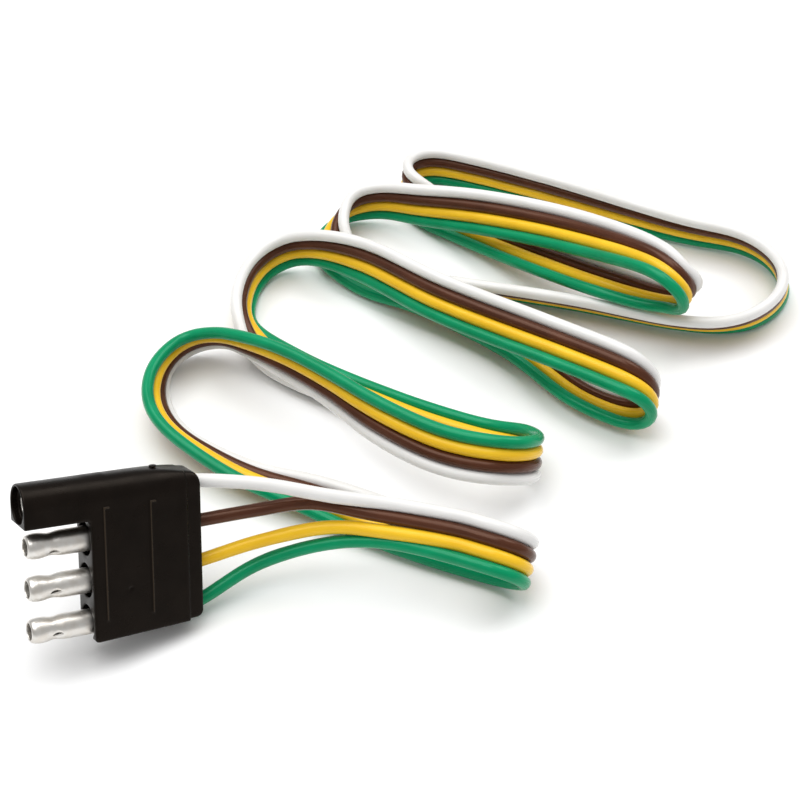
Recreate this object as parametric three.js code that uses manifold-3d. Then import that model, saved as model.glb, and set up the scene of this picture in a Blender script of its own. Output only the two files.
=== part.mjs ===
// Trailer-side four-way flat wiring connector with its bonded four-wire harness.
//
// The moulded housing carries three bare bullet pins and one shrouded socket.
// Four insulated wires leave its back, close up into a flat bonded ribbon, and
// the ribbon is laid to and fro on a table in loose folds. The connector leans
// back on its lower rear corner against the ribbon.
//
// Two frames are used, both in millimetres:
//   connector frame: +X from the pins to the wires, +Y through the thickness,
//     +Z up the row of terminals, origin on the socket axis at the front face
//     that the pins stand on;
//   part frame: +Z up, z = 0 is the table, origin under the connector's middle.

import * as THREE from 'three';
import { mergeVertices } from 'three/addons/utils/BufferGeometryUtils.js';
import Module from 'manifold-3d';

const wasm = await Module();
wasm.setup();

// ---- driving dimensions, connector frame -------------------------------

const PITCH = 8.7;                 // between neighbouring terminals
const THICKNESS = 9.1;             // housing, front to back
const BODY_LENGTH = 23.4;          // pin face to rear face
const SHROUD_LENGTH = 13.3;        // socket shroud ahead of the pin face
const SHROUD_FLOOR = -4.1;         // flat underside of the shroud
const ARCH_RADIUS = 4.55;          // rounded top edge of housing and shroud
const ARCH_CENTRE = -0.25;
const FOOT_FRONT = -29.5;          // bottom edge at the pin face
const FOOT_REAR = -28.1;           // bottom edge at the rear face
const BAND_START = 20.4;           // thinner rear band
const BAND_INSET = 0.4;
const RIDGES = [3.0, 12.7];        // raised witness lines on the broad faces
const RIDGE_WIDTH = 0.4;
const RIDGE_RISE = 0.2;
const RIDGE_TOP = -1.5;
const RIDGE_FOOT = -24.8;

const GAP = 0.3;                   // between touching solids
const PIN_RADIUS = 2.4;
const PIN_LENGTH = 12.2;           // ahead of the pin face
const PIN_BORE = 1.7;
const PIN_SEAT = 2.4;              // shank behind the pin face
const RECESS_RADIUS = 3.4;
const RECESS_DEPTH = 1.6;
const SLEEVE_RADIUS = 2.9;
const SLEEVE_WALL = 0.4;
const SLEEVE_SETBACK = 1.6;        // sleeve rim behind the shroud mouth
const MOUTH_RADIUS = 3.5;
const MOUTH_DEPTH = 1.6;
const CRIMP_RADIUS = 1.5;
const CRIMP_BORE = 1.1;
const CRIMP_END = 8.4;
const CARRIER = { x0: 3.4, x1: 9.0, halfWidth: 3.0, foot: -28.2 };

const WIRE_OD = 2.5;               // insulation, drawn a little under its pitch
const WIRE_PITCH = 2.85;           // between bonded wires
const CORE_RADIUS = 0.8;           // stranded copper
const WIRE_START = 10.5;           // insulation ends here, inside the housing
const WIRE_SIDES = 8;
const STRIP_LENGTH = 2.5;          // bare copper at the cut end

// ---- pose of the connector ---------------------------------------------

const TURN_DEG = 29.1;             // turned on its foot
const LEAN_DEG = -29.5;            // leaning back from the viewer
const HEADING_DEG = -26.0;         // brings its length along X
const PLACE = [-2.72, 6.32, 31.62];   // connector origin in the part frame

// ---- cable route, part frame -------------------------------------------

// The route below is written from a point on the table beside the part's origin.
const ROUTE_START = new THREE.Vector3(0.6, -0.3, 0);

// Free stretch of each wire between the housing and the bonded ribbon.
const FAN = {
  white: [[31, 1, 25], [44, -6, 22], [56, -12, 19.5]],
  brown: [[30, 0, 18.5], [41, -3, 18.5], [50, -10, 18]],
  yellow: [[29, -3, 12.5], [43, -8, 15], [53, -15, 15.5]],
  green: [[28, -4, 7], [42, -9, 11.5], [52, -15, 13]],
};

// Ribbon stations: centre x, y, z, then the way from the green to the white edge.
const RIBBON = [
  [65.5, -22.5, 15.3, 0.5, 0.6, 0.6],
  [71.6, -29.7, 15.6, 0.55, 0.6, 0.58],
  [75.4, -31.4, 13.2, 0.54, 0.61, 0.59],
  [78.2, -30.3, 8.9, 0.53, 0.61, 0.59],
  [78.1, -26.6, 5.2, 0.55, 0.6, 0.58],
  [75.3, -23, 4.2, 0.57, 0.59, 0.58],
  [61, -7, 4.3, 0.5, 0.6, 0.5],
  [47.5, 11.5, 4.3, 0.7, 0.6, 0],
  [37.5, 23.5, 4.2, 0.75, 0.5, -0.4],
  [31.5, 33.5, 4.6, 0.7, 0.4, -0.6],
  [27.5, 42, 5.2, 0.6, 0.3, -0.7],
  [26.5, 49.5, 5.6, 0.6, 0.3, -0.7],
  [28.3, 56.9, 5.7, 0.38, -0.15, -0.91],
  [32.6, 63.8, 5.8, -0.04, 0.14, -0.99],
  [39.9, 68.6, 6, 0.08, 0.47, -0.88],
  [46, 64.7, 8.7, 0.48, 0.42, -0.77],
  [50.2, 56.3, 11.3, 0.27, 0.3, -0.92],
  [56, 44.8, 12.6, 0.15, -0.1, -0.98],
  [61, 33.1, 13, 0.01, -0.07, -1],
  [66, 18.4, 13.4, -0.25, -0.19, -0.95],
  [74.5, 2.1, 14.4, -0.39, -0.26, -0.88],
  [84.8, -6.8, 14.8, -0.39, -0.24, -0.89],
  [90.7, -6.5, 12.2, -0.31, -0.3, -0.9],
  [95.3, -2.8, 8.2, -0.23, -0.42, -0.88],
  [95.6, 2.3, 5.4, -0.26, -0.36, -0.9],
  [91.9, 6.8, 4.4, -0.57, -0.74, -0.35],
  [80.6, 21.7, 3, -0.81, -0.55, -0.2],
  [70.5, 38.2, 2.4, -0.87, -0.48, 0.09],
  [61.6, 52, 2.4, -0.86, -0.5, 0],
  [57.3, 61.9, 2.8, -0.8, -0.5, 0.12],
  [56.2, 71.5, 5.4, -0.49, -0.14, 0.86],
  [59.4, 79.5, 5.6, -0.26, 0.05, 0.96],
  [66.6, 87.8, 5.8, -0.2, -0.07, 0.98],
  [74, 89.8, 7, -0.28, -0.11, 0.95],
  [80.1, 83.9, 10.1, -0.26, 0.12, 0.96],
  [87.7, 72.3, 12, 0.19, 0.39, 0.9],
  [96.4, 48.9, 14.5, 0.46, 0.36, 0.81],
  [113.7, 17, 17, 0.68, 0.5, 0.54],
  [120.1, 4.6, 18, 0.7, 0.48, 0.53],
  [123.8, 0.6, 15.9, 0.6, 0.78, 0.16],
  [126.8, -0.2, 10.9, 0.55, 0.79, 0.28],
  [126.6, 1, 6.6, 0.57, 0.76, 0.25],
  [123.8, 4.6, 3.9, 0.58, 0.81, 0],
  [117.6, 14.6, 3.2, 0.75, 0.63, -0.12],
  [111.9, 37.5, 2.8, 0.81, 0.57, -0.12],
  [97.7, 64.3, 2.7, 0.69, 0.7, -0.2],
  [91.5, 74.5, 3.2, 0.7, 0.5, 0.35],
  [88.1, 82.6, 3.4, 0.9, 0.43, 0.08],
  [87.6, 90.8, 4.2, 0.83, 0.1, 0.4],
  [91.4, 96.8, 5.2, 0.5, -0.4, 0.77],
  [97.5, 100, 6.4, 0.2, -0.19, 0.96],
  [104.5, 97, 8, 0, -0.1, 1],
  [110.5, 89, 10, 0.1, 0.1, 1],
  [121.5, 75, 13.5, 0.3, 0.4, 0.8],
  [135.1, 52.8, 18.3, 0.62, 0.55, 0.57],
  [143.1, 27, 24.8, 0.87, 0.49, 0.03],
  [144.9, 21.3, 23.6, 0.79, 0.59, -0.18],
  [147.8, 19.9, 19.3, 0.77, 0.62, -0.14],
  [148.9, 22.3, 14.6, 0.76, 0.62, -0.21],
  [146.7, 27.6, 12, 0.8, 0.6, -0.04],
  [137.8, 38.8, 12, 0.85, 0.5, 0.17],
  [124.5, 76, 4.4, 0.8, 0.6, 0.2],
  [118, 92, 3, 0.8, 0.4, 0.3],
  [115.2, 96.8, 4.8, 0.55, 0.1, 0.75],
  [114.3, 101.6, 5.7, 0.12, -0.03, 0.99],
  [116.1, 106, 6, 0, 0, 1],
  [120.2, 108.4, 6, 0, 0, 1],
  [125, 107.2, 6, 0, 0, 1],
  [130.3, 102.4, 6, 0, 0, 1],
  [146.1, 84.1, 6, -0.05, -0.05, 1],
  [169.9, 54.3, 6, -0.27, -0.21, 0.94],
  [180.3, 43.9, 6, -0.34, -0.29, 0.9],
  [183, 35.5, 6, -0.4, -0.35, 0.85],
  [181.5, 27.5, 5.9, -0.4, -0.3, 0.8],
  [175.5, 21, 5.7, -0.4, -0.4, 0.8],
  [166.5, 18, 5.5, -0.4, -0.4, 0.8],
  [158, 19.5, 5.2, -0.4, -0.5, 0.75],
  [149, 25.2, 5.1, -0.4, -0.56, 0.73],
  [130.6, 42.6, 5, -0.39, -0.54, 0.75],
  [105, 63.9, 4.9, -0.4, -0.53, 0.75],
];

const WIRES = ['white', 'brown', 'yellow', 'green'];   // top to bottom

// ---- geometry helpers ---------------------------------------------------

function weld(geometry) {
  const bare = geometry.clone();
  bare.deleteAttribute('normal');
  bare.deleteAttribute('uv');
  return mergeVertices(bare, 1e-5);
}

// A closed body from a geometry, turned right side out.
function solid(geometry) {
  const merged = weld(geometry);
  const position = merged.attributes.position;
  const index = Array.from(merged.index.array);
  const corners = [0, 1, 2].map(() => new THREE.Vector3());
  let volume = 0;
  const faces = [];
  for (let i = 0; i < index.length; i += 3) {
    const [a, b, c] = [index[i], index[i + 1], index[i + 2]];
    if (a === b || b === c || a === c) continue;
    corners.forEach((corner, k) => corner.fromBufferAttribute(position, index[i + k]));
    volume += corners[0].dot(corners[1].clone().cross(corners[2]));
    faces.push([a, b, c]);
  }
  const turned = volume < 0 ? faces.map(([a, b, c]) => [a, c, b]) : faces;
  return new wasm.Manifold(new wasm.Mesh({
    numProp: 3,
    vertProperties: Float32Array.from(position.array),
    triVerts: Uint32Array.from(turned.flat()),
  }));
}

function toGeometry(manifold) {
  const mesh = manifold.getMesh();
  const geometry = new THREE.BufferGeometry();
  geometry.setAttribute('position', new THREE.BufferAttribute(mesh.vertProperties, 3));
  geometry.setIndex(new THREE.BufferAttribute(mesh.triVerts, 1));
  geometry.computeVertexNormals();
  return geometry;
}

// Body of revolution about an axis along X. The profile holds [x, radius] pairs.
function turnedAlongX(profile, segments = 24) {
  const points = profile.map(([x, radius]) => new THREE.Vector2(radius, x));
  const geometry = new THREE.LatheGeometry(points, segments);
  geometry.rotateZ(-Math.PI / 2);
  return geometry;
}

function cylinderAlongX(x0, x1, radius, segments = 24) {
  return turnedAlongX([[x0, 0], [x0, radius], [x1, radius], [x1, 0]], segments);
}

function block(x0, x1, y0, y1, z0, z1) {
  const geometry = new THREE.BoxGeometry(x1 - x0, y1 - y0, z1 - z0);
  geometry.translate((x0 + x1) / 2, (y0 + y1) / 2, (z0 + z1) / 2);
  return geometry;
}

// Height of terminal row: 0 is the socket, 1 to 3 are the pins going down.
const rowZ = (row) => -row * PITCH;

function addMesh(group, name, geometry, color, roughness, metalness) {
  const material = new THREE.MeshStandardMaterial({ color, roughness, metalness });
  const mesh = new THREE.Mesh(geometry, material);
  mesh.name = name;
  group.add(mesh);
  return mesh;
}

// ---- housing -------------------------------------------------------------

// Side outline in X and Z: shroud on top, body behind it, rounded rear corners.
function sideOutline() {
  const outline = new THREE.Shape();
  outline.moveTo(-SHROUD_LENGTH, SHROUD_FLOOR);
  outline.lineTo(-1, SHROUD_FLOOR);
  outline.quadraticCurveTo(0, SHROUD_FLOOR, 0, SHROUD_FLOOR - 1);
  outline.lineTo(0, FOOT_FRONT + 0.9);
  outline.quadraticCurveTo(0, FOOT_FRONT, 0.9, FOOT_FRONT + 0.05);
  outline.lineTo(BODY_LENGTH - 1.2, FOOT_REAR);
  outline.quadraticCurveTo(BODY_LENGTH, FOOT_REAR, BODY_LENGTH, FOOT_REAR + 1.2);
  outline.lineTo(BODY_LENGTH, 1.2);
  outline.quadraticCurveTo(BODY_LENGTH - 0.4, 2.9, 18, 4.1);
  outline.lineTo(0, 4.4);
  outline.lineTo(-SHROUD_LENGTH, 4.4);
  return new THREE.ExtrudeGeometry(outline, { depth: 20, bevelEnabled: false, curveSegments: 5 })
    .translate(0, 0, -10)
    .rotateX(Math.PI / 2);
}

// Cross-section in Y and Z with an arched top, run along X.
function archedBar(x0, x1, halfWidth, centre, floor) {
  const section = new THREE.Shape();
  section.moveTo(-halfWidth, floor);
  section.lineTo(halfWidth, floor);
  section.lineTo(halfWidth, centre);
  section.absarc(0, centre, halfWidth, 0, Math.PI, false);
  section.lineTo(-halfWidth, floor);
  return new THREE.ExtrudeGeometry(section, { depth: x1 - x0, bevelEnabled: false, curveSegments: 20 })
    .rotateX(Math.PI / 2)
    .rotateZ(Math.PI / 2)
    .translate(x0, 0, 0);
}

function makeHousing() {
  const bar = solid(archedBar(-SHROUD_LENGTH, BAND_START, ARCH_RADIUS, ARCH_CENTRE, -40));
  const bandWidth = ARCH_RADIUS - BAND_INSET;
  const band = solid(archedBar(BAND_START - 1, BODY_LENGTH, bandWidth, ARCH_CENTRE, -40));
  let body = bar.add(band).intersect(solid(sideOutline()));

  for (const x of RIDGES) {
    for (const side of [-1, 1]) {
      const y = side * THICKNESS / 2;
      const ridge = block(x - RIDGE_WIDTH / 2, x + RIDGE_WIDTH / 2,
        y - RIDGE_RISE, y + RIDGE_RISE, RIDGE_FOOT, RIDGE_TOP);
      body = body.add(solid(ridge));
    }
  }

  // Room for the inner carrier.
  body = body.subtract(solid(archedBar(CARRIER.x0 - GAP, CARRIER.x1 + GAP,
    CARRIER.halfWidth + GAP, ARCH_CENTRE, CARRIER.foot - GAP)));

  // Socket bore with a wider mouth, pin bores with round recesses, wire bores.
  for (let row = 0; row < 4; row += 1) {
    const z = rowZ(row);
    const cutters = [cylinderAlongX(CARRIER.x1, BODY_LENGTH + 1, WIRE_OD / 2 + GAP, 16)];
    if (row === 0) {
      cutters.push(cylinderAlongX(-SHROUD_LENGTH - 1, -SHROUD_LENGTH + MOUTH_DEPTH, MOUTH_RADIUS));
      cutters.push(cylinderAlongX(-SHROUD_LENGTH, CARRIER.x0, SLEEVE_RADIUS + GAP));
    } else {
      cutters.push(cylinderAlongX(-1, RECESS_DEPTH, RECESS_RADIUS));
      cutters.push(cylinderAlongX(0, CARRIER.x0, PIN_RADIUS + GAP));
    }
    for (const cutter of cutters) {
      body = body.subtract(solid(cutter.translate(0, 0, z)));
    }
  }
  return toGeometry(body);
}

// Inner moulding that spaces the four crimp barrels.
function makeCarrier() {
  let carrier = solid(archedBar(CARRIER.x0, CARRIER.x1, CARRIER.halfWidth, ARCH_CENTRE,
    CARRIER.foot));
  for (let row = 0; row < 4; row += 1) {
    const bore = cylinderAlongX(CARRIER.x0 - 1, CARRIER.x1 + 1, CRIMP_RADIUS + GAP, 16);
    carrier = carrier.subtract(solid(bore.translate(0, 0, rowZ(row))));
  }
  return toGeometry(carrier);
}

// ---- terminals -----------------------------------------------------------

// Hollow bullet pin: rounded nose, bulb, waist, shank, then a crimp barrel.
function makePin() {
  const tip = -PIN_LENGTH;
  return turnedAlongX([
    [tip, PIN_BORE],
    [tip, PIN_BORE + 0.25],
    [tip + 0.5, 2.3],
    [tip + 1.6, 2.55],
    [tip + 3, 2.55],
    [tip + 4.3, 2.15],
    [tip + 5, 2.1],
    [tip + 6.2, PIN_RADIUS],
    [PIN_SEAT, PIN_RADIUS],
    [PIN_SEAT + 0.6, CRIMP_RADIUS],
    [CRIMP_END, CRIMP_RADIUS],
    [CRIMP_END, CRIMP_BORE],
    [PIN_SEAT + 1.2, CRIMP_BORE],
    [PIN_SEAT + 0.4, CRIMP_BORE],
    [PIN_SEAT + 0.4, 0],
    [PIN_SEAT - 0.4, 0],
    [PIN_SEAT - 0.4, PIN_BORE],
    [tip, PIN_BORE],
  ], 20);
}

// Socket sleeve with a thin wall, then a crimp barrel.
function makeSocket() {
  const rim = -SHROUD_LENGTH + SLEEVE_SETBACK;
  const bore = SLEEVE_RADIUS - SLEEVE_WALL;
  return turnedAlongX([
    [rim, bore],
    [rim, SLEEVE_RADIUS],
    [PIN_SEAT, SLEEVE_RADIUS],
    [PIN_SEAT + 0.6, CRIMP_RADIUS],
    [CRIMP_END, CRIMP_RADIUS],
    [CRIMP_END, CRIMP_BORE],
    [PIN_SEAT + 0.4, CRIMP_BORE],
    [PIN_SEAT + 0.4, 0],
    [PIN_SEAT - 0.4, 0],
    [PIN_SEAT - 0.4, bore],
    [rim, bore],
  ], 24);
}

// ---- cable ---------------------------------------------------------------

// A smooth curve sampled evenly from point to point, so folds get close steps.
class StationCurve extends THREE.CatmullRomCurve3 {
  getPointAt(u, target) {
    return this.getPoint(u, target);
  }

  getTangentAt(u, target) {
    return this.getTangent(u, target);
  }
}

// Centre line points of one wire in the part frame.
function wirePoints(number, toPart) {
  const name = WIRES[number];
  const z = rowZ(number);
  const points = [WIRE_START, 19, BODY_LENGTH, BODY_LENGTH + 3]
    .map((x) => new THREE.Vector3(x, 0, z).applyMatrix4(toPart));
  for (const place of FAN[name]) {
    points.push(new THREE.Vector3(...place).add(ROUTE_START));
  }

  const centres = new THREE.CatmullRomCurve3(RIBBON.map((s) => new THREE.Vector3(s[0], s[1], s[2])));
  RIBBON.forEach((station, i) => {
    const along = centres.getTangent(i / (RIBBON.length - 1));
    const across = new THREE.Vector3(station[3], station[4], station[5]);
    across.addScaledVector(along, -across.dot(along)).normalize();
    const offset = (1.5 - number) * WIRE_PITCH;
    points.push(centres.points[i].clone().addScaledVector(across, offset).add(ROUTE_START));
  });
  return points;
}

function circle(radius, sides) {
  const section = new THREE.Shape();
  for (let i = 0; i < sides; i += 1) {
    const angle = (2 * Math.PI * i) / sides;
    const [x, y] = [radius * Math.cos(angle), radius * Math.sin(angle)];
    if (i === 0) section.moveTo(x, y);
    else section.lineTo(x, y);
  }
  section.closePath();
  return section;
}

function tube(points, radius) {
  const path = new StationCurve(points, false, 'centripetal');
  return new THREE.ExtrudeGeometry(circle(radius, WIRE_SIDES), {
    steps: points.length - 1,
    extrudePath: path,
    bevelEnabled: false,
  });
}

// ---- assembly ------------------------------------------------------------

const COLORS = { white: 0xf0eeea, brown: 0x4a2a1e, yellow: 0xf2c22e, green: 0x008a55 };
const TINNED = [0xc9c5bc, 0.35, 1.0];
const COPPER = [0xb8693c, 0.4, 1.0];

const part = new THREE.Group();
const heading = new THREE.Group();
const lean = new THREE.Group();
const connector = new THREE.Group();
heading.position.set(...PLACE);
heading.rotation.z = THREE.MathUtils.degToRad(HEADING_DEG);
lean.rotation.x = THREE.MathUtils.degToRad(LEAN_DEG);
connector.rotation.z = THREE.MathUtils.degToRad(TURN_DEG);
lean.add(connector);
heading.add(lean);
part.add(heading);

addMesh(connector, 'housing', makeHousing(), 0x191614, 0.5, 0.0);
addMesh(connector, 'terminal_carrier', makeCarrier(), 0x201c1a, 0.6, 0.0);
addMesh(connector, 'socket_white', makeSocket(), ...TINNED);
for (let row = 1; row < 4; row += 1) {
  const pin = addMesh(connector, `pin_${WIRES[row]}`, makePin(), ...TINNED);
  pin.position.z = rowZ(row);
}
for (let row = 0; row < 4; row += 1) {
  const core = cylinderAlongX(PIN_SEAT + 1, WIRE_START - GAP, CORE_RADIUS, 12);
  const mesh = addMesh(connector, `conductor_${WIRES[row]}`, core, ...COPPER);
  mesh.position.z = rowZ(row);
}

connector.updateWorldMatrix(true, false);
WIRES.forEach((name, number) => {
  const points = wirePoints(number, connector.matrixWorld);
  addMesh(part, `wire_${name}`, tube(points, WIRE_OD / 2), COLORS[name], 0.35, 0.0);
  const last = points[points.length - 1];
  const along = last.clone().sub(points[points.length - 2]).normalize();
  const stub = [GAP, STRIP_LENGTH].map((d) => last.clone().addScaledVector(along, d));
  addMesh(part, `bare_end_${name}`, tube(stub, CORE_RADIUS), ...COPPER);
});

export default part;
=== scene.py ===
# Trailer wiring connector: the looks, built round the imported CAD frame.
# Lengths are written in millimetres and turned to metres as meshes are made.
import math

import bpy
import numpy as np
import openvdb
from mathutils import Matrix, Vector


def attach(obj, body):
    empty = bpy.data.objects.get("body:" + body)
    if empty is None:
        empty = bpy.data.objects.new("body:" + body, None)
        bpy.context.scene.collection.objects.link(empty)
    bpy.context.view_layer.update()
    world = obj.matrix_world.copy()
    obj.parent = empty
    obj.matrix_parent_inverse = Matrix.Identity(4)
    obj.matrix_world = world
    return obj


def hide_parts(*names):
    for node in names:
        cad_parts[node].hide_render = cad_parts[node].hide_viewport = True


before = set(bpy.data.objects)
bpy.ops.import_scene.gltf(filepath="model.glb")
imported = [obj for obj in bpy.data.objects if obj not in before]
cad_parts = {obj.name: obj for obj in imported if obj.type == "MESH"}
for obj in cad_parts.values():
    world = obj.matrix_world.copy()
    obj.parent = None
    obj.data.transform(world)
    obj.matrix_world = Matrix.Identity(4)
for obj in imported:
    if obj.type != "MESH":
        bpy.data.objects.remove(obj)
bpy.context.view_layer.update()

MM = 0.001
WIRES = ("white", "brown", "yellow", "green")

# ---- dimensions shared with the CAD part ----------------------------------

PITCH = 8.7                             # from terminal to terminal
BODY_LENGTH = 23.4                      # pin face to rear face
SHROUD_LENGTH = 13.3                    # socket shroud ahead of the pin face
ARCH_CENTRE = -0.25                     # height of the rounded top edge's centre line
WIRE_PITCH = 2.85                       # across the bonded ribbon
STRIP_LENGTH = 2.5                      # bare copper at the cut end

# Where the connector frame lies in the part frame, and its turns in degrees.
PLACE = (-2.72, 6.32, 31.62)
HEADING, LEAN, TURN = -26.0, -29.5, 29.1
ROUTE_START = np.array([0.6, -0.3, 0.0])

# Stretch of each wire between the housing and the bonded ribbon.
FAN = {
    "white": [[31, 1, 25], [44, -6, 22], [56, -12, 19.5]],
    "brown": [[30, 0, 18.5], [41, -3, 18.5], [50, -10, 18]],
    "yellow": [[29, -3, 12.5], [43, -8, 15], [53, -15, 15.5]],
    "green": [[28, -4, 7], [42, -9, 11.5], [52, -15, 13]],
}

# Ribbon stations: centre x, y, z, then the way from the green to the white edge.
RIBBON = [
    [65.5, -22.5, 15.3, 0.5, 0.6, 0.6],
    [71.6, -29.7, 15.6, 0.55, 0.6, 0.58],
    [75.4, -31.4, 13.2, 0.54, 0.61, 0.59],
    [78.2, -30.3, 8.9, 0.53, 0.61, 0.59],
    [78.1, -26.6, 5.2, 0.55, 0.6, 0.58],
    [75.3, -23, 4.2, 0.57, 0.59, 0.58],
    [61, -7, 4.3, 0.5, 0.6, 0.5],
    [47.5, 11.5, 4.3, 0.7, 0.6, 0],
    [37.5, 23.5, 4.2, 0.75, 0.5, -0.4],
    [31.5, 33.5, 4.6, 0.7, 0.4, -0.6],
    [27.5, 42, 5.2, 0.6, 0.3, -0.7],
    [26.5, 49.5, 5.6, 0.6, 0.3, -0.7],
    [28.3, 56.9, 5.7, 0.38, -0.15, -0.91],
    [32.6, 63.8, 5.8, -0.04, 0.14, -0.99],
    [39.9, 68.6, 6, 0.08, 0.47, -0.88],
    [46, 64.7, 8.7, 0.48, 0.42, -0.77],
    [50.2, 56.3, 11.3, 0.27, 0.3, -0.92],
    [56, 44.8, 12.6, 0.15, -0.1, -0.98],
    [61, 33.1, 13, 0.01, -0.07, -1],
    [66, 18.4, 13.4, -0.25, -0.19, -0.95],
    [74.5, 2.1, 14.4, -0.39, -0.26, -0.88],
    [84.8, -6.8, 14.8, -0.39, -0.24, -0.89],
    [90.7, -6.5, 12.2, -0.31, -0.3, -0.9],
    [95.3, -2.8, 8.2, -0.23, -0.42, -0.88],
    [95.6, 2.3, 5.4, -0.26, -0.36, -0.9],
    [91.9, 6.8, 4.4, -0.57, -0.74, -0.35],
    [80.6, 21.7, 3, -0.81, -0.55, -0.2],
    [70.5, 38.2, 2.4, -0.87, -0.48, 0.09],
    [61.6, 52, 2.4, -0.86, -0.5, 0],
    [57.3, 61.9, 2.8, -0.8, -0.5, 0.12],
    [56.2, 71.5, 5.4, -0.49, -0.14, 0.86],
    [59.4, 79.5, 5.6, -0.26, 0.05, 0.96],
    [66.6, 87.8, 5.8, -0.2, -0.07, 0.98],
    [74, 89.8, 7, -0.28, -0.11, 0.95],
    [80.1, 83.9, 10.1, -0.26, 0.12, 0.96],
    [87.7, 72.3, 12, 0.19, 0.39, 0.9],
    [96.4, 48.9, 14.5, 0.46, 0.36, 0.81],
    [113.7, 17, 17, 0.68, 0.5, 0.54],
    [120.1, 4.6, 18, 0.7, 0.48, 0.53],
    [123.8, 0.6, 15.9, 0.6, 0.78, 0.16],
    [126.8, -0.2, 10.9, 0.55, 0.79, 0.28],
    [126.6, 1, 6.6, 0.57, 0.76, 0.25],
    [123.8, 4.6, 3.9, 0.58, 0.81, 0],
    [117.6, 14.6, 3.2, 0.75, 0.63, -0.12],
    [111.9, 37.5, 2.8, 0.81, 0.57, -0.12],
    [97.7, 64.3, 2.7, 0.69, 0.7, -0.2],
    [91.5, 74.5, 3.2, 0.7, 0.5, 0.35],
    [88.1, 82.6, 3.4, 0.9, 0.43, 0.08],
    [87.6, 90.8, 4.2, 0.83, 0.1, 0.4],
    [91.4, 96.8, 5.2, 0.5, -0.4, 0.77],
    [97.5, 100, 6.4, 0.2, -0.19, 0.96],
    [104.5, 97, 8, 0, -0.1, 1],
    [110.5, 89, 10, 0.1, 0.1, 1],
    [121.5, 75, 13.5, 0.3, 0.4, 0.8],
    [135.1, 52.8, 18.3, 0.62, 0.55, 0.57],
    [143.1, 27, 24.8, 0.87, 0.49, 0.03],
    [144.9, 21.3, 23.6, 0.79, 0.59, -0.18],
    [147.8, 19.9, 19.3, 0.77, 0.62, -0.14],
    [148.9, 22.3, 14.6, 0.76, 0.62, -0.21],
    [146.7, 27.6, 12, 0.8, 0.6, -0.04],
    [137.8, 38.8, 12, 0.85, 0.5, 0.17],
    [124.5, 76, 4.4, 0.8, 0.6, 0.2],
    [118, 92, 3, 0.8, 0.4, 0.3],
    [115.2, 96.8, 4.8, 0.55, 0.1, 0.75],
    [114.3, 101.6, 5.7, 0.12, -0.03, 0.99],
    [116.1, 106, 6, 0, 0, 1],
    [120.2, 108.4, 6, 0, 0, 1],
    [125, 107.2, 6, 0, 0, 1],
    [130.3, 102.4, 6, 0, 0, 1],
    [146.1, 84.1, 6, -0.05, -0.05, 1],
    [169.9, 54.3, 6, -0.27, -0.21, 0.94],
    [180.3, 43.9, 6, -0.34, -0.29, 0.9],
    [183, 35.5, 6, -0.4, -0.35, 0.85],
    [181.5, 27.5, 5.9, -0.4, -0.3, 0.8],
    [175.5, 21, 5.7, -0.4, -0.4, 0.8],
    [166.5, 18, 5.5, -0.4, -0.4, 0.8],
    [158, 19.5, 5.2, -0.4, -0.5, 0.75],
    [149, 25.2, 5.1, -0.4, -0.56, 0.73],
    [130.6, 42.6, 5, -0.39, -0.54, 0.75],
    [105, 63.9, 4.9, -0.4, -0.53, 0.75],
]

# ---- camera -----------------------------------------------------------------

CAMERA_AT = Vector((-0.0544, -0.2420, 0.2867))
CAMERA_AZIMUTH, CAMERA_ELEVATION = math.radians(-26), math.radians(43)
CAMERA_LENS, CAMERA_SENSOR = 81, 36


def make_camera():
    """The photograph's camera."""
    data = bpy.data.cameras.new("camera")
    data.sensor_width = CAMERA_SENSOR
    data.lens = CAMERA_LENS
    data.clip_start = 0.01
    data.clip_end = 20
    camera = bpy.data.objects.new("camera", data)
    bpy.context.scene.collection.objects.link(camera)
    a, e = CAMERA_AZIMUTH, CAMERA_ELEVATION
    right = Vector((math.cos(a), math.sin(a), 0))
    back = Vector((math.sin(a) * math.cos(e), -math.cos(a) * math.cos(e), math.sin(e)))
    turn = Matrix((right, back.cross(right), back)).transposed()
    camera.matrix_world = Matrix.Translation(CAMERA_AT) @ turn.to_4x4()
    bpy.context.scene.camera = camera


# ---- connector frame --------------------------------------------------------

def rotation(axis, degrees):
    return Matrix.Rotation(math.radians(degrees), 4, axis)


POSE = np.array(
    Matrix.Translation(Vector(PLACE))
    @ rotation("Z", HEADING)
    @ rotation("X", LEAN)
    @ rotation("Z", TURN)
)


def to_part(points):
    """Points of the connector frame, in the part frame, both in mm."""
    return np.asarray(points, float) @ POSE[:3, :3].T + POSE[:3, 3]


def row_z(row):
    """Height of a terminal: row 0 is the socket, rows 1 to 3 the pins."""
    return -row * PITCH


# ---- mesh helpers -----------------------------------------------------------

def add_piece(name, points, faces, material):
    """A smooth-shaded piece from part-frame points in mm, on the one body, root."""
    mesh = bpy.data.meshes.new(name)
    mesh.from_pydata((np.asarray(points) * MM).tolist(), [], faces)
    mesh.shade_smooth()
    mesh.materials.append(material)
    piece = bpy.data.objects.new(name, mesh)
    bpy.context.scene.collection.objects.link(piece)
    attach(piece, "root")
    return piece


def unit(vectors):
    return vectors / np.linalg.norm(vectors, axis=-1, keepdims=True)


# ---- smooth paths -----------------------------------------------------------

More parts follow.
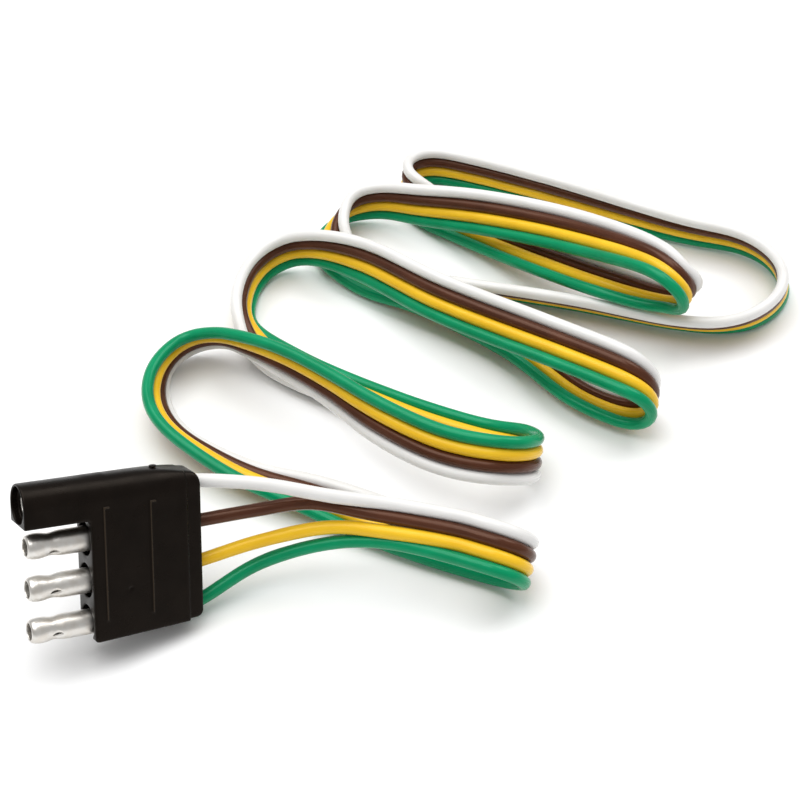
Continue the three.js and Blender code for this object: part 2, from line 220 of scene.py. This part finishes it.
def catmull(rows, per):
    """Centripetal spline through rows that start with a place, per points to a row."""
    p = np.asarray(rows, float)
    p = np.vstack([2 * p[0] - p[1], p, 2 * p[-1] - p[-2]])
    out = []
    for quad in zip(p, p[1:], p[2:], p[3:]):
        gaps = [np.linalg.norm(b[:3] - a[:3]) for a, b in zip(quad, quad[1:])]
        k = np.concatenate([[0.0], np.cumsum(np.sqrt(gaps))])
        t = np.linspace(k[1], k[2], per, endpoint=False)[:, None]
        level = list(quad)
        for span in (1, 2):
            level = [
                ((k[i + span] - t) * level[i] + (t - k[i]) * level[i + 1]) / (k[i + span] - k[i])
                for i in range(4 - span)
            ]
        out.append(((k[2] - t) * level[0] + (t - k[1]) * level[1]) / (k[2] - k[1]))
    return np.vstack(out + [p[-2:-1]])


def evenly(rows, step):
    """The same path with a row about every step mm."""
    run = np.concatenate([[0.0], np.cumsum(np.linalg.norm(np.diff(rows[:, :3], axis=0), axis=1))])
    at = np.linspace(0, run[-1], int(run[-1] / step) + 1)
    return np.stack([np.interp(at, run, rows[:, c]) for c in range(rows.shape[1])], axis=1)


def blur(rows, sigma):
    """Gaussian smoothing along a path, sigma in rows. Both ends stay put."""
    reach = int(4 * sigma) + 1
    kernel = np.exp(-0.5 * (np.arange(-reach, reach + 1) / sigma) ** 2)
    kernel /= kernel.sum()
    head = 2 * rows[0] - rows[reach:0:-1]
    tail = 2 * rows[-1] - rows[-2:-reach - 2:-1]
    padded = np.vstack([head, rows, tail])
    return np.stack([np.convolve(padded[:, c], kernel, "valid") for c in range(rows.shape[1])], 1)


# ---- wires ------------------------------------------------------------------

WIRE_RADIUS = 1.4                       # insulation in full; the CAD tube is a little thinner
PATH_STEP = 1.5                         # between the rows of a wire's path
RIBBON_STEP = 0.5                       # between the rows of the ribbon's centre line
JOIN_EVERY = 8                          # ribbon rows from one wire point to the next
BLUR_PLACE, BLUR_TWIST = 2.5, 4.0       # mm of smoothing along the ribbon
BLUR_WIRE = 0.8                         # rows of smoothing along a wire
FLOOR_GAP = 0.05                        # least height of a bond line over the floor
INSIDE = (12.0, 16.0, 20.0, BODY_LENGTH - 0.4)  # places along X of a wire in the housing
# Degrees round a wire, closer together at the two bond lines.
HALF_RING = (0, 5, 10, 17, 30, 47, 64, 81, 99, 116, 133, 150, 163, 170, 175, 180)
RING = np.radians(HALF_RING + tuple(-a for a in HALF_RING[-2:0:-1]))
BOND_RISE = 0.07                        # torn bond line, proud of the insulation
BOND_ARC = 6                            # degrees, its half width
CUT_BORE, CUT_DEPTH = 0.82, 0.6         # hole in the cut end, round the conductor
CUT_RIM, CUT_BULGE = 0.94, 0.05         # the cut end's rounded edge

STRAND_RADIUS, STRAND_PITCH = 0.25, 0.52
STRAND_TWIST, STRAND_SPLAY = 0.38, 0.06  # radians and share of widening per mm
STRAND_SIDES, STRAND_STEPS = 10, 14


def ribbon_path():
    """The ribbon's centre and its green-to-white direction, row by row."""
    rows = evenly(catmull(RIBBON, 14), RIBBON_STEP)
    place = blur(rows[:, :3], BLUR_PLACE / RIBBON_STEP)
    along = unit(np.gradient(place, axis=0))
    across = blur(rows[:, 3:], BLUR_TWIST / RIBBON_STEP)
    across -= (across * along).sum(1, keepdims=True) * along
    return place, unit(across)


def wire_path(number, place, across):
    """Rows of a wire: its centre, then the way to its neighbour on the white side."""
    row_way = POSE[:3, 2]
    rows = [np.concatenate([p, row_way]) for p in to_part([(x, 0, row_z(number)) for x in INSIDE])]
    fan = FAN[WIRES[number]]
    for i, point in enumerate(fan):
        share = (i + 1) / (len(fan) + 1)
        way = (1 - share) * row_way + share * across[0]
        rows.append(np.concatenate([np.array(point) + ROUTE_START, way]))
    bonded = place + across * (1.5 - number) * WIRE_PITCH + ROUTE_START
    for i in range(0, len(place), JOIN_EVERY):
        rows.append(np.concatenate([bonded[i], across[i]]))
    path = evenly(catmull(rows, 8), PATH_STEP)
    path[:, 2] = np.maximum(path[:, 2], WIRE_RADIUS + BOND_RISE + FLOOR_GAP)
    return blur(path, BLUR_WIRE)


def make_wire(number, path, material):
    """A mesh tube with raised bond lines towards its neighbours and a cut end."""
    name = WIRES[number]
    centre = path[:, :3]
    along = unit(np.gradient(centre, axis=0))
    side = unit(path[:, 3:] - (path[:, 3:] * along).sum(1, keepdims=True) * along)
    over = np.cross(along, side)
    run = np.arange(len(path)) * PATH_STEP

    # Bond lines face the neighbours; the wall waves slightly, as extruded plastic does.
    up_bond = np.exp(-(np.degrees(RING) / BOND_ARC) ** 2) * (number > 0)
    away = 180 - np.abs(np.degrees(RING))
    down_bond = np.exp(-(away / BOND_ARC) ** 2) * (number < 3)
    bond = up_bond + down_bond
    wave = 0.012 * np.sin(run / 5.3 + number) + 0.008 * np.sin(run / 2.1 + 2 * number)
    ragged = 1 + 0.35 * np.sin(run / 1.7 + number) * np.sin(run / 3.9)
    radius = WIRE_RADIUS + wave[:, None] + BOND_RISE * bond[None, :] * ragged[:, None]
    ring_side = np.cos(RING)[None, :, None] * side[:, None, :]
    ring_over = np.sin(RING)[None, :, None] * over[:, None, :]
    skin = centre[:, None, :] + radius[:, :, None] * (ring_side + ring_over)

    # The cut end: an annulus, then a short way in along the conductor.
    rings, marks = [skin.reshape(-1, 3)], [np.tile(bond, len(path))]
    hole = CUT_BORE / WIRE_RADIUS
    for reach, inward in ((CUT_RIM, -CUT_BULGE), (hole, -CUT_BULGE), (hole, CUT_DEPTH)):
        rim = centre[-1] - along[-1] * inward + WIRE_RADIUS * reach * (ring_side[-1] + ring_over[-1])
        rings.append(rim)
        marks.append(np.zeros(len(RING)))
    points = np.vstack(rings)
    n, count = len(RING), len(points) // len(RING)
    faces = [
        (i * n + k, i * n + (k + 1) % n, (i + 1) * n + (k + 1) % n, (i + 1) * n + k)
        for i in range(count - 1)
        for k in range(n)
    ]
    faces.append(tuple(range(n - 1, -1, -1)))
    faces.append(tuple((count - 1) * n + k for k in range(n)))
    piece = add_piece(f"visual_wire_{name}", points, faces, material)

    run_all = np.concatenate([np.repeat(run, n), np.full(3 * n, run[-1])])
    turn_all = np.tile(RING, count)
    grain = np.stack([run_all, WIRE_RADIUS * np.cos(turn_all), WIRE_RADIUS * np.sin(turn_all)], 1)
    piece.data.attributes.new("grain", "FLOAT_VECTOR", "POINT").data.foreach_set(
        "vector", grain.astype(np.float32).ravel())
    piece.data.attributes.new("bond", "FLOAT", "POINT").data.foreach_set(
        "value", np.concatenate(marks).astype(np.float32))
    return piece


def make_strands(number, path, material):
    """Seven twisted copper strands standing out of a cut end."""
    tip = path[-1, :3]
    along = unit(path[-1, :3] - path[-3, :3])
    side = unit(path[-1, 3:] - (path[-1, 3:] @ along) * along)
    over = np.cross(along, side)
    # They start inside the cut end, and stop a little unevenly.
    sides, steps = STRAND_SIDES, STRAND_STEPS
    points, faces = [], []
    for s in range(7):
        out = 0.0 if s == 0 else STRAND_PITCH
        base = len(points)
        reach = STRIP_LENGTH - 0.12 * (s * 5 % 4)
        for j in range(steps):
            lie = -CUT_DEPTH + 0.1 + (reach + CUT_DEPTH - 0.1) * j / (steps - 1)
            turn = 2 * math.pi * s / 6 + STRAND_TWIST * lie
            splay = out * (1 + STRAND_SPLAY * max(lie, 0))
            core = tip + along * lie + splay * (math.cos(turn) * side + math.sin(turn) * over)
            for k in range(sides):
                a = 2 * math.pi * k / sides
                points.append(core + STRAND_RADIUS * (math.cos(a) * side + math.sin(a) * over))
        for j in range(steps - 1):
            for k in range(sides):
                here, there = base + j * sides, base + (j + 1) * sides
                faces.append((here + k, here + (k + 1) % sides, there + (k + 1) % sides, there + k))
        faces.append(tuple(base + k for k in range(sides - 1, -1, -1)))
        faces.append(tuple(base + (steps - 1) * sides + k for k in range(sides)))
    return add_piece(f"visual_strands_{WIRES[number]}", points, faces, material)


# ---- solids from distance fields -------------------------------------------

FIELD_REACH = 3.0                       # cells each side of a surface that keep a distance


class Field:
    """A block of sample points in the connector frame, in mm."""

    def __init__(self, low, high, step):
        self.low, self.step = np.array(low, float), step
        axes = [np.arange(a, b + step, step, dtype=np.float32) for a, b in zip(low, high)]
        self.x, self.y, self.z = np.meshgrid(*axes, indexing="ij", sparse=True)

    def mesh(self, distance, adaptivity):
        """Points and faces of the surface where the distance is nought."""
        grid = openvdb.FloatGrid()
        grid.background = FIELD_REACH
        cells = np.clip(distance / self.step, -FIELD_REACH, FIELD_REACH)
        grid.copyFromArray(cells.astype(np.float32))
        points, triangles, quads = grid.convertToPolygons(isovalue=0.0, adaptivity=adaptivity)
        faces = [tuple(f[::-1]) for f in triangles.tolist()] + [tuple(f[::-1]) for f in quads.tolist()]
        return points * self.step + self.low, faces


def both(a, b, round_by=0.0):
    """Overlap of two fields, with its edges rounded."""
    if not round_by:
        return np.maximum(a, b)
    h = np.maximum(round_by - np.abs(a - b), 0) / round_by
    return np.maximum(a, b) + h * h * round_by / 4


def either(a, b, round_by=0.0):
    """Union of two fields, with its inner corners filled."""
    return -both(-a, -b, round_by)


def ease(a, b, x):
    """Smooth rise from 0 at a to 1 at b."""
    t = np.clip((x - a) / (b - a), 0, 1)
    return t * t * (3 - 2 * t)


def rod(field, z, radius):
    """Cylinder along X about a terminal's axis."""
    return np.hypot(field.y, field.z - z) - radius


def brick(field, low, high):
    """Box between two corners."""
    d = None
    for value, a, b in zip((field.x, field.y, field.z), low, high):
        slab = np.abs(value - (a + b) / 2) - (b - a) / 2
        d = slab if d is None else np.maximum(d, slab)
    return d


# ---- housing ----------------------------------------------------------------

BAND_START, BAND_IN, BAND_UP = 20.3, 0.38, 0.35     # rear band: start, and its steps in and up
FOOT_Z, FOOT_SLOPE = -29.45, 0.057                  # underside at the pin face, and its rise
REAR_X = 23.35
TOP_Z = 4.32
FALL_X, FALL_Z, FALL_SLOPE = 15.6, 4.16, 0.223      # where the top starts to fall
CORNER_X, CORNER_Z, CORNER_SLOPE = 22.75, 2.6, 1.6  # the steep corner behind it
SHROUD_TOP, SHROUD_FLOOR, SHROUD_ROOT = 4.4, -4.08, 4
ARCH_RADIUS = 4.55

RIDGE_XS = (2.7, 12.4)                  # witness lines on both broad faces
RIDGE_HALF, RIDGE_OUT, HOOK_OUT = 0.15, 4.77, 4.73
RIDGE_LOW, RIDGE_TOP = -24.85, -1.5
HOOK_LOW, HOOK_REACH = -1.85, 1.15
NUB_AT, NUB_SIZE = (14.8, 0, 4.2), (0.85, 0.85, 0.24)
GATE_AT, GATE_RADIUS = (7.8, -4.75, -19), 0.42

MOUTH_RADIUS, MOUTH_DEPTH = 3.75, 1.6
FLARE_RADIUS, FLARE_OUT, FLARE_SLOPE = 3.7, 0.2, 0.9
SLEEVE_BORE, RECESS_RADIUS, RECESS_DEPTH = 3.0, 3.5, 1.6
SEAT_RADIUS, SEAT_END = 2.66, 2.6
EXIT_RADIUS, EXIT_START = 1.5, 21.5
HIGHLIGHT_FROM, HIGHLIGHT_OVER, HIGHLIGHT_REACH = 4.62, 0.1, 1.3      # where the witness lines get a painted highlight


def distance_to(field, at, size=(1, 1, 1)):
    """Distance from a place, along axes that are each divided by a size."""
    x, y, z = [(value - a) / b for value, a, b in zip((field.x, field.y, field.z), at, size)]
    return np.sqrt(x ** 2 + y ** 2 + z ** 2)


def housing_field(field):
    """The moulding; the last number of both and either is a rounding in mm."""
    x, y, z = field.x, field.y, field.z
    # Side outline: the body behind the pin face, then the shroud ahead of it.
    step_up = BAND_UP * ease(BAND_START - 0.1, BAND_START + 0.3, x)
    foot = (FOOT_Z + FOOT_SLOPE * x + step_up) - z
    body = both(-x, foot, 1.1)
    body = both(body, x - REAR_X, 1.6)
    top = both(z - TOP_Z, (z - FALL_Z) + FALL_SLOPE * (x - FALL_X), 1.5)
    body = both(body, top, 0.8)
    body = both(body, (z - CORNER_Z) + CORNER_SLOPE * (x - CORNER_X), 1.2)
    shroud = both(-SHROUD_LENGTH - x, x - SHROUD_ROOT)
    shroud = both(shroud, SHROUD_FLOOR - z, 0.25)
    outline = either(body, both(shroud, z - SHROUD_TOP), 1.1)
    # Arched cross-section, a little thinner in the rear band.
    half = ARCH_RADIUS - BAND_IN * ease(BAND_START - 0.15, BAND_START + 0.15, x)
    arch = np.hypot(y, np.maximum(z - ARCH_CENTRE, 0)) - half
    solid = both(outline, arch, 0.55)
    # Witness lines with a short hook at the top.
    for at in RIDGE_XS:
        low, high = at - RIDGE_HALF, at + RIDGE_HALF
        lines = brick(field, (low, -RIDGE_OUT, RIDGE_LOW), (high, RIDGE_OUT, RIDGE_TOP))
        hooks = brick(field, (low, -HOOK_OUT, HOOK_LOW), (at + HOOK_REACH, HOOK_OUT, RIDGE_TOP))
        solid = either(solid, either(lines, hooks), 0.08)
    # A nub of flash on the crown, and the gate mark on the near face.
    nub = distance_to(field, NUB_AT, NUB_SIZE) - 1
    solid = either(solid, nub * NUB_SIZE[2], 0.08)
    solid = both(solid, GATE_RADIUS - distance_to(field, GATE_AT), 0.15)
    # Bores: socket mouth, sleeve, pin recesses, pins and wires.
    mouth = both(rod(field, 0, MOUTH_RADIUS), x + SHROUD_LENGTH - MOUTH_DEPTH, 0.3)
    flare = rod(field, 0, FLARE_RADIUS) + (x + SHROUD_LENGTH) * FLARE_SLOPE - FLARE_OUT
    bore = both(rod(field, 0, SLEEVE_BORE), x - SEAT_END)
    solid = both(solid, -either(either(mouth, flare), bore), 0.12)
    for row in (1, 2, 3):
        recess = both(rod(field, row_z(row), RECESS_RADIUS), x - RECESS_DEPTH, 0.3)
        seat = both(rod(field, row_z(row), SEAT_RADIUS), x - SEAT_END)
        solid = both(solid, -either(recess, seat), 0.2)
    for row in range(4):
        exit_hole = both(rod(field, row_z(row), EXIT_RADIUS), EXIT_START - x)
        solid = both(solid, -exit_hole, 0.25)
    return solid


def make_housing(material):
    """The moulding, in a block of cells a little larger than it is."""
    field = Field((-13.8, -5.1, -30.1), (24.1, 5.1, 5.1), 0.13)
    points, faces = field.mesh(housing_field(field), 0.004)
    piece = add_piece("visual_housing", to_part(points), faces, material)
    # The witness lines, where a paler painted highlight is laid on the moulding.
    beside = np.min([np.abs(points[:, 0] - at) for at in RIDGE_XS], axis=0)
    ridge_highlight = np.clip((np.abs(points[:, 1]) - HIGHLIGHT_FROM) / HIGHLIGHT_OVER, 0, 1) * (beside < HIGHLIGHT_REACH)
    piece.data.attributes.new("ridge_highlight", "FLOAT", "POINT").data.foreach_set(
        "value", ridge_highlight.astype(np.float32))
    return piece


# ---- terminals --------------------------------------------------------------

# Outlines are places along X and the radius there.
PIN_OUTLINE = (
    (-13.0, 1.80), (-12.2, 2.02), (-11.8, 2.28), (-11.2, 2.48), (-10.4, 2.60), (-9.6, 2.60),
    (-8.9, 2.52), (-8.2, 2.38), (-7.6, 2.28), (-7.0, 2.28), (-6.4, 2.38), (-5.6, 2.52),
    (-4.6, 2.58), (2.3, 2.58), (2.9, 1.5), (9.0, 1.5),
)
SLEEVE_OUTLINE = ((-12.0, 2.8), (-11.7, 2.9), (-11.2, 2.9), (2.3, 2.9), (2.9, 1.5), (9.0, 1.5))
PIN_TIP, PIN_BORE = -12.2, 1.72
SLEEVE_TIP, SLEEVE_INSIDE = -11.7, 2.45
BORE_END = 1.6
BARREL_FLOOR, BARREL_END, BARREL_BORE = 3.0, 8.4, 1.1
PIN_ROLLS = (35, 17, 20)                # degrees that the slits are rolled down, rows 1 to 3
WAIST_X = -6.9
SLIT_Y, SLIT_LONG, SLIT_DEEP, SLIT_WIDE, SLIT_TILT = -2.4, 1.05, 1.3, 0.26, 0.12
DISH_Y, DISH_RADIUS, DISH_WIDEN = -3.1, 1.05, 1.2
SEAM_HALF, SPLIT_HALF = 0.09, 0.2


def terminal_field(field, outline, tip, bore):
    """A drawn tube about the X axis, with a rolled tip and an open crimp barrel."""
    x = field.x
    reach = np.hypot(field.y, field.z)
    skin = reach - np.interp(x, *zip(*outline))
    solid = both(skin, tip - x, 0.5)
    solid = both(solid, x - BARREL_END)
    inner = both(reach - bore, x - BORE_END)
    barrel = both(reach - BARREL_BORE, BARREL_FLOOR - x)
    return both(both(solid, -inner, 0.22), -barrel)


def make_pins(material):
    """The three bullet pins: one mesh, rolled and placed three times."""
    field = Field((-12.7, -2.9, -2.9), (8.8, 2.9, 2.9), 0.12)
    solid = terminal_field(field, PIN_OUTLINE, PIN_TIP, PIN_BORE)
    # A lanced slit in the waist, with a dished lip, and the rolled seam opposite.
    along = field.x - WAIST_X
    bend = (field.z - SLIT_TILT * along) / SLIT_WIDE
    slit = np.sqrt((along / SLIT_LONG) ** 2 + bend ** 2 + ((field.y - SLIT_Y) / SLIT_DEEP) ** 2) - 1
    dish = np.sqrt(along ** 2 + (field.z / DISH_WIDEN) ** 2 + (field.y - DISH_Y) ** 2) - DISH_RADIUS
    solid = both(both(solid, -dish, 0.3), -slit * 0.3, 0.1)
    seam = both(np.abs(field.z) - SEAM_HALF, -field.y)
    solid = both(solid, -both(seam, field.x - 2), 0.05)
    points, faces = field.mesh(solid, 0.0)
    for row, roll in enumerate(PIN_ROLLS, start=1):
        name = WIRES[row]
        turned = points @ np.array(rotation("X", roll))[:3, :3].T
        placed = to_part(turned + np.array([0, 0, row_z(row)]))
        pin = add_piece(f"visual_pin_{name}", placed, faces, material)
        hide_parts(f"pin_{name}")


def make_socket(material):
    """The split sleeve inside the shroud."""
    field = Field((-12.2, -3.2, -3.2), (8.8, 3.2, 3.2), 0.13)
    solid = terminal_field(field, SLEEVE_OUTLINE, SLEEVE_TIP, SLEEVE_INSIDE)
    split = both(np.abs(field.y) - SPLIT_HALF, field.z)
    solid = both(solid, -both(split, field.x - 1.5), 0.05)
    points, faces = field.mesh(solid, 0.0)
    socket = add_piece("visual_socket", to_part(points), faces, material)
    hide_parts("socket_white")


# ---- materials --------------------------------------------------------------

# Colour, its darker shade, the torn bond line and how much of it shows, and the gloss's tint.
WIRE_LOOKS = {
    "white": ((0.79, 0.78, 0.765), (0.74, 0.73, 0.71), (0.84, 0.82, 0.79), 0.4, (1, 1, 1)),
    "brown": ((0.075, 0.024, 0.012), (0.052, 0.016, 0.008), (0.72, 0.52, 0.38), 0.75, (1, 0.6, 0.42)),
    "yellow": ((0.88, 0.54, 0.022), (0.81, 0.47, 0.016), (0.93, 0.74, 0.45), 0.7, (1, 0.85, 0.45)),
    "green": ((0.0, 0.27, 0.11), (0.0, 0.22, 0.085), (0.3, 0.62, 0.45), 0.3, (0.35, 1, 0.72)),
}
HOUSING_BLACK, HOUSING_WORN = (0.0028, 0.0019, 0.0015), (0.0052, 0.0035, 0.0027)
# Paler brown painted on the witness lines as a highlight.
HOUSING_RIDGE_HIGHLIGHT = (0.034, 0.024, 0.016)
CARRIER_BLACK, CARRIER_DARK = (0.03, 0.026, 0.022), (0.02, 0.017, 0.015)
PLASTIC_TINT = (1, 0.84, 0.7)
TIN, TIN_BRIGHT, TIN_WARM = (0.72, 0.70, 0.67), (0.72, 0.70, 0.665), (0.64, 0.595, 0.535)
COPPER, COPPER_BRIGHT, COPPER_DULL = (0.72, 0.36, 0.2), (0.76, 0.40, 0.23), (0.45, 0.2, 0.1)
FLOOR_WHITE, FLOOR_PALE = (0.93, 0.93, 0.93), (0.95, 0.95, 0.95)


def principled(name, color, roughness, metallic=0.0, specular=0.5, tint=(1, 1, 1)):
    """A new material, its node tree and its shader, with the uniform values set."""
    material = bpy.data.materials.new(name)
    material.use_nodes = True
    shader = material.node_tree.nodes["Principled BSDF"]
    shader.inputs["Base Color"].default_value = (*color, 1)
    shader.inputs["Roughness"].default_value = roughness
    shader.inputs["Metallic"].default_value = metallic
    shader.inputs["Specular IOR Level"].default_value = specular
    shader.inputs["Specular Tint"].default_value = (*tint, 1)
    return material, material.node_tree, shader


def node(tree, kind, **values):
    """A new node, with its inputs and settings given by name."""
    made = tree.nodes.new(kind)
    for key, value in values.items():
        if key in made.inputs:
            made.inputs[key].default_value = value
        else:
            setattr(made, key, value)
    return made


def surface_place(tree, attribute, scale):
    """Object coordinates, or a stored attribute, stretched by scale."""
    if attribute:
        source = node(tree, "ShaderNodeAttribute", attribute_name=attribute).outputs["Vector"]
    else:
        source = tree.nodes.new("ShaderNodeTexCoord").outputs["Object"]
    mapping = node(tree, "ShaderNodeMapping")
    mapping.inputs["Scale"].default_value = scale
    tree.links.new(source, mapping.inputs["Vector"])
    return mapping.outputs["Vector"]


def noise(tree, place, scale, detail=3.0, roughness=0.5):
    """Noise at a place, scale cells to the place's unit."""
    made = node(tree, "ShaderNodeTexNoise", Scale=scale, Detail=detail, Roughness=roughness)
    tree.links.new(place, made.inputs["Vector"])
    return made.outputs["Fac"]


def spread(tree, source, low, high, to_low, to_high):
    """Map low to high onto to_low to to_high."""
    made = node(tree, "ShaderNodeMapRange")
    for key, value in zip(("From Min", "From Max", "To Min", "To Max"), (low, high, to_low, to_high)):
        made.inputs[key].default_value = value
    tree.links.new(source, made.inputs["Value"])
    return made.outputs["Result"]


def blend_color(tree, share, first, second):
    """Mix of two colours, each a tuple or a socket."""
    made = node(tree, "ShaderNodeMix", data_type="RGBA")
    for index, value in ((6, first), (7, second)):
        if isinstance(value, tuple):
            made.inputs[index].default_value = (*value, 1)
        else:
            tree.links.new(value, made.inputs[index])
    tree.links.new(share, made.inputs[0])
    return made.outputs[2]


def bump(tree, shader, height, strength, distance, under=None):
    """Relief on the shader's normal, over an earlier one if given."""
    made = node(tree, "ShaderNodeBump", Strength=strength, Distance=distance)
    tree.links.new(height, made.inputs["Height"])
    if under:
        tree.links.new(under, made.inputs["Normal"])
    tree.links.new(made.outputs["Normal"], shader.inputs["Normal"])
    return made.outputs["Normal"]


def wire_material(name, color, shade, residue, residue_share, tint):
    """Glossy extruded insulation with draw lines and a torn bond line."""
    material, tree, shader = principled(f"wire_{name}", color, 0.3, specular=0.36, tint=tint)
    shader.inputs["Coat Weight"].default_value = 0.1
    shader.inputs["Coat Roughness"].default_value = 0.12
    shader.inputs["Subsurface Weight"].default_value = 0.06
    shader.inputs["Subsurface Radius"].default_value = (0.9, 0.8, 0.7)
    shader.inputs["Subsurface Scale"].default_value = 0.0006
    drawn = surface_place(tree, "grain", (0.05, 1.0, 1.0))
    blotch = surface_place(tree, "grain", (0.25, 0.5, 0.5))
    tone = spread(tree, noise(tree, blotch, 0.5), 0.35, 0.7, 0.0, 1.0)
    tinted = blend_color(tree, tone, color, shade)
    bond = node(tree, "ShaderNodeAttribute", attribute_name="bond").outputs["Fac"]
    torn = surface_place(tree, "grain", (0.6, 1, 1))
    broken = spread(tree, noise(tree, torn, 1.2, 4), 0.38, 0.6, 0.15, 1)
    line = node(tree, "ShaderNodeMath", operation="MULTIPLY")
    tree.links.new(bond, line.inputs[0])
    tree.links.new(broken, line.inputs[1])
    share = spread(tree, line.outputs[0], 0.25, 0.9, 0.0, residue_share)
    tree.links.new(blend_color(tree, share, tinted, residue), shader.inputs["Base Color"])
    rough = spread(tree, noise(tree, drawn, 2.5, 4), 0.3, 0.7, 0.22, 0.36)
    tree.links.new(rough, shader.inputs["Roughness"])
    fine = bump(tree, shader, noise(tree, drawn, 6, 4), 0.12, 0.0001)
    bump(tree, shader, noise(tree, blotch, 1.4, 2), 0.1, 0.0003, fine)
    return material


def plastic_material(name, color, shade, roughness, specular, ridge_highlight=None):
    """Satin moulded plastic with a fine grain, and a painted highlight where the mesh marks one."""
    material, tree, shader = principled(
        name, color, roughness, specular=specular, tint=PLASTIC_TINT)
    place = surface_place(tree, None, (1, 1, 1))
    tone = spread(tree, noise(tree, place, 180, 4), 0.35, 0.68, 0.0, 1.0)
    tinted = blend_color(tree, tone, color, shade)
    # Painted highlight: a paler colour laid on where the mesh marks it.
    if ridge_highlight:
        highlight_share = node(tree, "ShaderNodeAttribute", attribute_name="ridge_highlight").outputs["Fac"]
        tinted = blend_color(tree, spread(tree, highlight_share, 0.2, 1, 0, 0.9), tinted, ridge_highlight)
    tree.links.new(tinted, shader.inputs["Base Color"])
    rough = spread(tree, noise(tree, place, 260, 5), 0.3, 0.7, roughness - 0.07, roughness + 0.08)
    tree.links.new(rough, shader.inputs["Roughness"])
    grain = bump(tree, shader, noise(tree, place, 5200, 3, 0.65), 0.22, 0.00006)
    bump(tree, shader, noise(tree, place, 420, 3), 0.12, 0.0002, grain)
    return material


def tinned_material():
    """Tinned brass: satin, with turning marks and a warm tone where it is thin."""
    material, tree, shader = principled("tinned_brass", TIN, 0.3, metallic=1.0)
    place = surface_place(tree, None, (1, 1, 1))
    tone = spread(tree, noise(tree, place, 420, 4, 0.6), 0.4, 0.72, 0.0, 1.0)
    tree.links.new(blend_color(tree, tone, TIN_BRIGHT, TIN_WARM), shader.inputs["Base Color"])
    rough = spread(tree, noise(tree, place, 900, 5, 0.6), 0.3, 0.7, 0.3, 0.43)
    tree.links.new(rough, shader.inputs["Roughness"])
    fine = bump(tree, shader, noise(tree, place, 4200, 4, 0.6), 0.12, 0.00003)
    bump(tree, shader, noise(tree, place, 500, 2), 0.03, 0.00005, fine)
    return material


def copper_material():
    """Bare copper strand, dulled in patches."""
    material, tree, shader = principled("copper_strand", COPPER, 0.3, metallic=1.0)
    place = surface_place(tree, None, (1, 1, 1))
    tone = spread(tree, noise(tree, place, 900, 4), 0.4, 0.7, 0.0, 1.0)
    tree.links.new(blend_color(tree, tone, COPPER_BRIGHT, COPPER_DULL), shader.inputs["Base Color"])
    rough = spread(tree, noise(tree, place, 1500, 4), 0.3, 0.7, 0.22, 0.45)
    tree.links.new(rough, shader.inputs["Roughness"])
    bump(tree, shader, noise(tree, place, 5000, 3), 0.15, 0.00003)
    return material


def floor_material():
    """Matt white, with a faint cloud in it."""
    material, tree, shader = principled("floor", FLOOR_WHITE, 0.75, specular=0.2)
    place = surface_place(tree, None, (1, 1, 1))
    tone = spread(tree, noise(tree, place, 60, 4), 0.3, 0.7, 0.0, 1.0)
    tree.links.new(blend_color(tree, tone, FLOOR_WHITE, FLOOR_PALE), shader.inputs["Base Color"])
    return material


# ---- studio -----------------------------------------------------------------

LOOK_AT = (0.07, 0.03, 0.01)            # metres, about the middle of the object
FLOOR_SIZE = 6


def add_light(name, place, size, watts):
    """A rectangular area light that faces the object."""
    data = bpy.data.lights.new(name, "AREA")
    data.shape = "RECTANGLE"
    data.size, data.size_y = size
    data.energy = watts
    light = bpy.data.objects.new(name, data)
    light.location = place
    way = Vector(LOOK_AT) - Vector(place)
    light.rotation_euler = way.to_track_quat("-Z", "Y").to_euler()
    bpy.context.scene.collection.objects.link(light)


def make_studio():
    """White floor, a large key light above, a fill light from the right and a pale sky."""
    bpy.ops.mesh.primitive_plane_add(size=FLOOR_SIZE, location=(0, 0, 0))
    floor = bpy.context.object
    floor.name = "floor"
    floor.data.materials.append(floor_material())
    add_light("key", (-0.1, 0.2, 1.0), (1.1, 0.9), 9.6)
    add_light("fill", (0.75, 0.15, 0.85), (0.55, 0.55), 3.2)
    world = bpy.data.worlds.new("studio")
    world.use_nodes = True
    background = world.node_tree.nodes["Background"]
    background.inputs["Color"].default_value = (1, 1, 1, 1)
    background.inputs["Strength"].default_value = 0.5
    scene = bpy.context.scene
    scene.world = world
    scene.view_settings.view_transform = "Standard"


# ---- build ------------------------------------------------------------------

make_camera()
copper = copper_material()
ribbon_place, ribbon_across = ribbon_path()
for number, wire in enumerate(WIRES):
    path = wire_path(number, ribbon_place, ribbon_across)
    tube = make_wire(number, path, wire_material(wire, *WIRE_LOOKS[wire]))
    strands = make_strands(number, path, copper)
    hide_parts(f"wire_{wire}")
    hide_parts(f"bare_end_{wire}")

# The housing's witness lines get a painted highlight.
housing_look = plastic_material(
    "housing_pvc", HOUSING_BLACK, HOUSING_WORN, 0.31, 0.13, ridge_highlight=HOUSING_RIDGE_HIGHLIGHT)
housing = make_housing(housing_look)
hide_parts("housing")
tinned = tinned_material()
make_pins(tinned)
make_socket(tinned)
carrier_look = plastic_material("carrier_plastic", CARRIER_BLACK, CARRIER_DARK, 0.5, 0.4)
hidden_looks = {"terminal_carrier": carrier_look}
hidden_looks.update({f"conductor_{wire}": copper for wire in WIRES})
for name, look in hidden_looks.items():
    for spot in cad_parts[name].material_slots:
        spot.material = look

make_studio()
